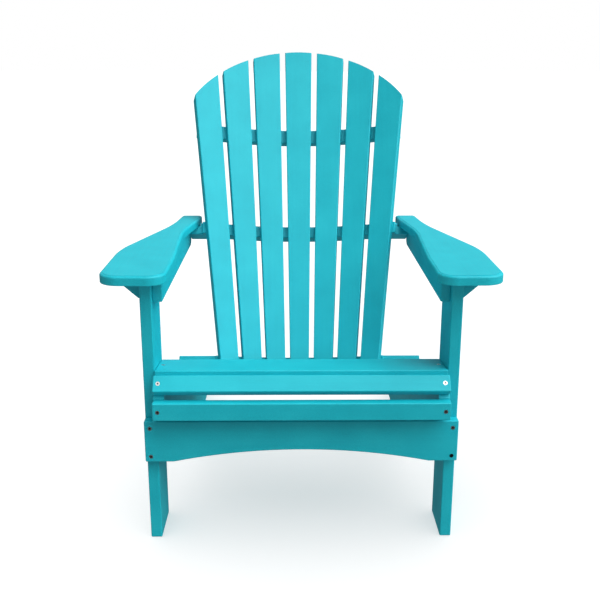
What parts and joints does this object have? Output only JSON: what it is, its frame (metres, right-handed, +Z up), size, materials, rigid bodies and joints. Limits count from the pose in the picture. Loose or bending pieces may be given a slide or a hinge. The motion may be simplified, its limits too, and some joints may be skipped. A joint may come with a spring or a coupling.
{
  "type": "adirondack chair",
  "caption": "Fixed adirondack garden chair of coloured recycled-plastic boards: a fan back with a round crown, broad flat arms, and a low seat that falls towards the rear feet.",
  "frame": {"origin": "on the floor, under the middle of the chair's outer box", "axes": "+Z up; the sitter faces -Y, the rear feet point to +Y; +X is to the right of somebody who looks at the front of the chair"},
  "size_m": [0.764, 0.837, 0.9678],
  "materials": {
    "lumber": "satin with a very fine grain, coloured right through",
    "stainless": "plain stainless steel"
  },
  "bodies": {
    "root": {"front_leg_left": "lumber", "front_leg_right": "lumber", "front_apron": "lumber", "seat_slat_1": "lumber", "seat_slat_2": "lumber", "seat_slat_3": "lumber", "seat_slat_4": "lumber", "seat_slat_5": "lumber", "seat_slat_6": "lumber", "back_slat_1": "lumber", "back_slat_2": "lumber", "back_slat_3": "lumber", "back_slat_4": "lumber", "back_slat_5": "lumber", "back_slat_6": "lumber", "back_slat_7": "lumber", "seat_back_rail": "lumber", "arm_back_rail": "lumber", "top_back_rail": "lumber", "armrest_left": "lumber", "armrest_right": "lumber", "arm_side_rail_left": "lumber", "arm_side_rail_right": "lumber", "arm_bracket_left": "lumber", "arm_bracket_right": "lumber", "side_stringer_left": "lumber", "side_stringer_right": "lumber", "apron_screws": "stainless", "seat_screws": "stainless", "seat_rail_screws": "stainless", "seat_back_screws": "stainless", "arm_back_screws": "stainless", "top_back_screws": "stainless", "side_rail_screws": "stainless", "arm_screws": "stainless", "arm_rail_screws": "stainless", "bracket_screws": "stainless", "leg_bolts": "stainless", "leg_washers": "stainless", "leg_nuts": "stainless"}
  },
  "joints": []
}
